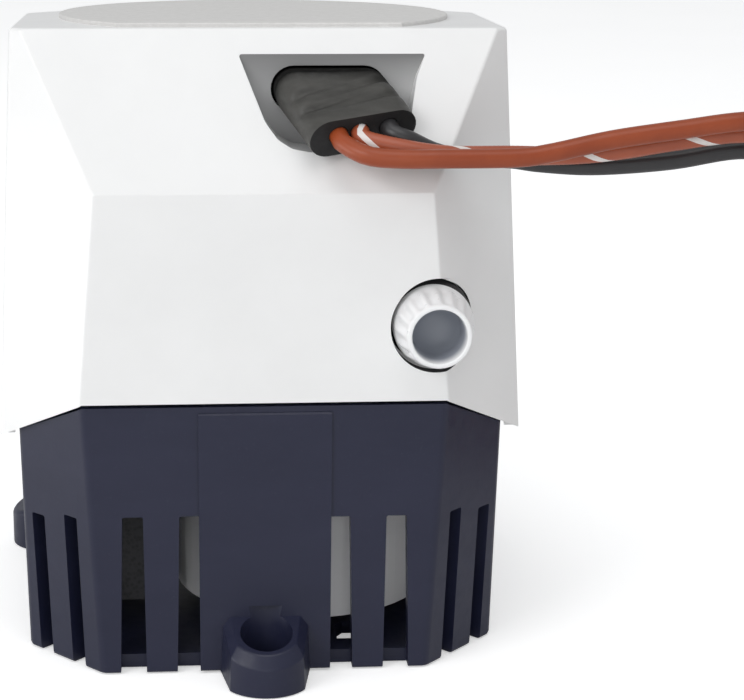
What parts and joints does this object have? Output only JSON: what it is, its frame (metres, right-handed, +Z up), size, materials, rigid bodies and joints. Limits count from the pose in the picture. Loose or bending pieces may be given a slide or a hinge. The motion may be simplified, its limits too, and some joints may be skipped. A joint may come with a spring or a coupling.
{
  "type": "bilge pump",
  "caption": "Automatic submersible bilge pump: octagonal cover over a slotted strainer base, with a test knob, wire gland, hose outlet and coiled leads.",
  "frame": {"origin": "centre of the strainer's footprint, on its underside, where the pump stands", "axes": "+Z up; -Y to the front, the side with the slanted shoulder, the gland and the test knob; +Y to the back, where the hose outlet points; +X to the right seen from the front"},
  "size_m": [0.2503, 0.1359, 0.1124],
  "materials": {
    "white_plastic": "satin, finely moulded",
    "navy_plastic": "satin",
    "grey_plastic": "satin",
    "label_film": "flat, lightly grained",
    "black_rubber": "matt",
    "black_float": "matt, closed cell",
    "stainless_steel": "bright",
    "zinc_steel": "zinc plated",
    "sintered_bronze": "porous, matt",
    "tinned_copper": "bright",
    "ferrite": "matt",
    "carbon": "matt",
    "circuit_board": "solder resist",
    "switch_glass": "clear",
    "brown_insulation": "satin wire insulation",
    "striped_insulation": "satin, brown with one white stripe",
    "black_insulation": "satin wire insulation"
  },
  "bodies": {
    "strainer": {"strainer_basket": "navy_plastic"},
    "tab_left": {"release_tab_left": "navy_plastic"},
    "tab_right": {"release_tab_right": "navy_plastic"},
    "pump": {"cover_shell": "white_plastic", "motor_capsule": "white_plastic", "discharge_nozzle": "white_plastic", "chassis_plate": "grey_plastic", "volute_housing": "grey_plastic", "inlet_ring": "grey_plastic", "end_bell": "grey_plastic", "brush_holder": "grey_plastic", "float_stem": "grey_plastic", "top_label": "label_film", "wire_gland": "black_rubber", "shaft_seal": "black_rubber", "capsule_gasket": "black_rubber", "nozzle_gasket": "black_rubber", "coil_strap": "black_rubber", "plate_screw_1": "stainless_steel", "plate_screw_2": "stainless_steel", "plate_screw_3": "stainless_steel", "plate_screw_4": "stainless_steel", "capsule_screw_1": "stainless_steel", "capsule_screw_2": "stainless_steel", "capsule_screw_3": "stainless_steel", "knob_spring": "stainless_steel", "nozzle_screw_left": "stainless_steel", "nozzle_screw_right": "stainless_steel", "motor_can": "zinc_steel", "bushing_lower": "sintered_bronze", "bushing_upper": "sintered_bronze", "bare_tip_brown": "tinned_copper", "bare_tip_stripe": "tinned_copper", "bare_tip_black": "tinned_copper", "magnet_left": "ferrite", "magnet_right": "ferrite", "brush_left": "carbon", "brush_right": "carbon", "control_relay": "carbon", "circuit_board": "circuit_board", "reed_switch": "switch_glass", "wire_brown": "brown_insulation", "wire_end_brown": "brown_insulation", "wire_coil": "brown_insulation", "wire_stripe": "striped_insulation", "wire_end_stripe": "striped_insulation", "wire_black": "black_insulation", "wire_end_black": "black_insulation"},
    "rotor": {"impeller": "navy_plastic", "motor_shaft": "stainless_steel", "rotor_core": "zinc_steel", "commutator": "tinned_copper"},
    "knob": {"test_knob": "white_plastic", "knob_seal": "black_rubber", "lifter_bar": "grey_plastic"},
    "float": {"float_body": "black_float", "float_magnet": "ferrite"},
    "flap": {"check_flap": "black_rubber"}
  },
  "joints": [
    {"name": "pump_lift", "type": "slide", "parent": "strainer", "child": "pump", "axis": [0, 0, 1], "range_m": [0, 0.07]},
    {"name": "tab_left_flex", "type": "hinge", "parent": "strainer", "child": "tab_left", "pos_m": [-0.0414, -0.002, 0.0108], "axis": [0, 1, 0], "range_deg": [0, 4], "stiffness_Nm_per_rad": 0.5},
    {"name": "tab_right_flex", "type": "hinge", "parent": "strainer", "child": "tab_right", "pos_m": [0.0414, -0.002, 0.0108], "axis": [0, -1, 0], "range_deg": [0, 4], "stiffness_Nm_per_rad": 0.5},
    {"name": "impeller_spin", "type": "hinge", "parent": "pump", "child": "rotor", "pos_m": [0.0085, -0.014, 0.02], "axis": [0, 0, 1], "continuous": true},
    {"name": "knob_turn", "type": "hinge", "parent": "pump", "child": "knob", "pos_m": [0.0285, 0, 0.0633], "axis": [0, 1, 0], "range_deg": [0, 20], "stiffness_Nm_per_rad": 0.05, "springref_deg": -11.46},
    {"name": "float_rise", "type": "slide", "parent": "pump", "child": "float", "axis": [0, 0, 1], "range_m": [0, 0.0162]},
    {"name": "flap_swing", "type": "hinge", "parent": "pump", "child": "flap", "pos_m": [0, 0.03975, 0.0799], "axis": [1, 0, 0], "range_deg": [0, 60]}
  ],
  "couplings": [
    {"joint": "knob_turn", "follows": "float_rise", "rad_per_m": 21.5}
  ]
}
